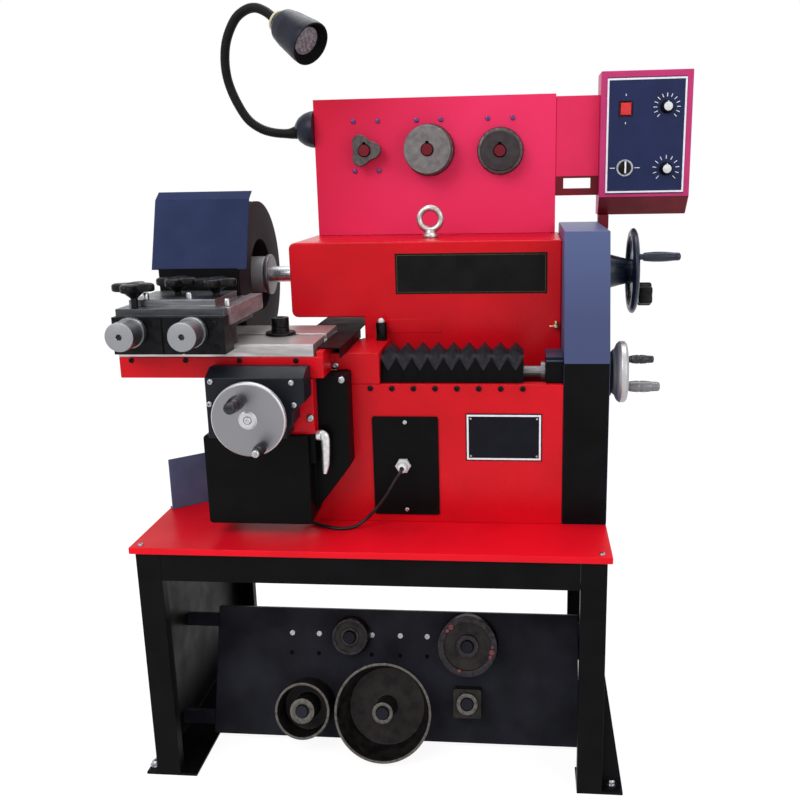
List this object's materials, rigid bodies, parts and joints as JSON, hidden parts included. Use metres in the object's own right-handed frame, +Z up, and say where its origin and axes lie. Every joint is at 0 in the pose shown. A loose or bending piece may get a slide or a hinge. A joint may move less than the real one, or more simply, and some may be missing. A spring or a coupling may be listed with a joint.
{
  "type": "brake lathe",
  "caption": "Bench-mounted disc and drum brake lathe on a steel stand, with a twin cutter on a cross slide, a spindle with a clamped disc, adapters on boards and a control box.",
  "frame": {"origin": "the middle of the machine's footprint, on the floor", "axes": "+X to the operator's right along the spindle, +Y to the back, +Z up"},
  "size_m": [1.021, 0.646, 1.4014],
  "materials": {
    "red_paint": "gloss enamel",
    "black_paint": "satin powder coat",
    "blue_paint": "satin powder coat",
    "steel": "turned and ground",
    "aluminium": "machined",
    "black_steel": "blackened",
    "cast_iron": "machined, oiled",
    "black_plastic": "moulded",
    "white_plastic": "moulded",
    "red_plastic": "moulded",
    "rubber": "flexible, dull"
  },
  "bodies": {
    "frame": {"left_end_panel": "black_paint", "right_end_panel": "black_paint", "front_rail": "black_paint", "rear_rail": "black_paint", "bench_top": "red_paint", "storage_board": "blue_paint", "drum_cup_large": "cast_iron", "drum_cup_small": "cast_iron", "centring_disc_small": "cast_iron", "centring_disc_large": "cast_iron", "square_spacer": "cast_iron", "bed": "red_paint", "access_cover": "black_paint", "cable_gland": "white_plastic", "drive_motor": "black_paint", "drive_belt": "rubber", "headstock": "red_paint", "lifting_eye": "steel", "belt_guard": "blue_paint", "screw_bearing": "black_paint", "screw_bellows": "rubber", "chip_plate": "blue_paint", "tool_board": "red_paint", "stepped_cone_left": "cast_iron", "stepped_cone_middle": "cast_iron", "stepped_cone_right": "cast_iron", "box_arm": "red_paint", "control_box": "red_paint", "lamp_neck": "black_plastic", "lamp_head": "black_plastic", "feed_cable": "rubber"},
    "spindle_unit": {"spindle": "steel", "brake_disc": "cast_iron", "spindle_handwheel": "black_plastic"},
    "lock_knob": {"wheel_lock_knob": "black_plastic"},
    "motor_pulley_body": {"motor_pulley": "cast_iron"},
    "carriage": {"bed_slide": "steel", "saddle": "red_paint", "way_cover": "black_paint", "feed_gearbox": "black_paint", "gearbox_cover": "black_paint"},
    "feed_screw_unit": {"feed_screw": "steel", "feed_handwheel": "aluminium"},
    "cross_wheel": {"cross_handwheel": "aluminium"},
    "feed_lever_body": {"feed_lever": "steel"},
    "cross_slide": {"slotted_table": "aluminium", "tee_bolt": "black_steel", "cutter_body": "black_steel", "tool_bar_left": "black_steel", "tool_bar_right": "black_steel", "chip_shield": "blue_paint"},
    "dial_left_body": {"dial_left": "aluminium"},
    "dial_right_body": {"dial_right": "aluminium"},
    "clamp_outer": {"clamp_knob_outer": "black_plastic"},
    "clamp_middle": {"clamp_knob_middle": "black_plastic"},
    "clamp_inner": {"clamp_knob_inner": "black_plastic"},
    "power_switch_body": {"power_switch": "red_plastic"},
    "speed_knob_body": {"speed_knob": "black_plastic"},
    "feed_knob_body": {"feed_knob": "black_plastic"},
    "mode_selector_body": {"mode_selector": "black_plastic"}
  },
  "joints": [
    {"name": "spindle_turn", "type": "hinge", "parent": "frame", "child": "spindle_unit", "pos_m": [-0.0795, 0.161, 0.883], "axis": [1, 0, 0], "continuous": true},
    {"name": "lock_knob_turn", "type": "hinge", "parent": "spindle_unit", "child": "lock_knob", "pos_m": [0.4085, 0.185, 0.834], "axis": [1, 0, 0], "range_deg": [-180, 180]},
    {"name": "motor_pulley_turn", "type": "hinge", "parent": "frame", "child": "motor_pulley_body", "pos_m": [0.2855, 0.161, 0.56], "axis": [1, 0, 0], "continuous": true},
    {"name": "carriage_slide", "type": "slide", "parent": "frame", "child": "carriage", "axis": [1, 0, 0], "range_m": [-0.12, 0], "deforming": ["screw_bellows"]},
    {"name": "feed_screw_turn", "type": "hinge", "parent": "frame", "child": "feed_screw_unit", "pos_m": [-0.0795, -0.037, 0.725], "axis": [1, 0, 0], "range_deg": [-4325, 5]},
    {"name": "cross_wheel_turn", "type": "hinge", "parent": "carriage", "child": "cross_wheel", "pos_m": [-0.2595, -0.259, 0.691], "axis": [0, 1, 0], "range_deg": [-3245, 5]},
    {"name": "feed_lever_turn", "type": "hinge", "parent": "carriage", "child": "feed_lever_body", "pos_m": [-0.1615, -0.157, 0.636], "axis": [1, 0, 0], "range_deg": [-60, 0]},
    {"name": "cross_slide_slide", "type": "slide", "parent": "carriage", "child": "cross_slide", "axis": [0, 1, 0], "range_m": [-0.09, 0]},
    {"name": "dial_left_turn", "type": "hinge", "parent": "cross_slide", "child": "dial_left_body", "pos_m": [-0.4605, -0.239, 0.829], "axis": [0, 1, 0], "range_deg": [-360, 360]},
    {"name": "dial_right_turn", "type": "hinge", "parent": "cross_slide", "child": "dial_right_body", "pos_m": [-0.3565, -0.239, 0.829], "axis": [0, 1, 0], "range_deg": [-360, 360]},
    {"name": "clamp_outer_turn", "type": "hinge", "parent": "cross_slide", "child": "clamp_outer", "pos_m": [-0.4655, -0.181, 0.885], "axis": [0, 0, 1], "range_deg": [-180, 180]},
    {"name": "clamp_middle_turn", "type": "hinge", "parent": "cross_slide", "child": "clamp_middle", "pos_m": [-0.4175, -0.107, 0.895], "axis": [0, 0, 1], "range_deg": [-180, 180]},
    {"name": "clamp_inner_turn", "type": "hinge", "parent": "cross_slide", "child": "clamp_inner", "pos_m": [-0.3435, -0.121, 0.895], "axis": [0, 0, 1], "range_deg": [-180, 180]},
    {"name": "power_switch_rock", "type": "hinge", "parent": "frame", "child": "power_switch_body", "pos_m": [0.3825, 0.241, 1.19], "axis": [1, 0, 0], "range_deg": [-14, 0]},
    {"name": "speed_knob_turn", "type": "hinge", "parent": "frame", "child": "speed_knob_body", "pos_m": [0.4615, 0.231, 1.192], "axis": [0, 1, 0], "range_deg": [-150, 150]},
    {"name": "feed_knob_turn", "type": "hinge", "parent": "frame", "child": "feed_knob_body", "pos_m": [0.4635, 0.231, 1.075], "axis": [0, 1, 0], "range_deg": [-150, 150]},
    {"name": "mode_selector_turn", "type": "hinge", "parent": "frame", "child": "mode_selector_body", "pos_m": [0.3835, 0.231, 1.078], "axis": [0, 1, 0], "range_deg": [-60, 60]}
  ],
  "couplings": [
    {"joint": "motor_pulley_turn", "follows": "spindle_turn", "ratio": 2.7143},
    {"joint": "feed_screw_turn", "follows": "carriage_slide", "rad_per_m": 628.32},
    {"joint": "cross_wheel_turn", "follows": "cross_slide_slide", "rad_per_m": 628.32}
  ]
}
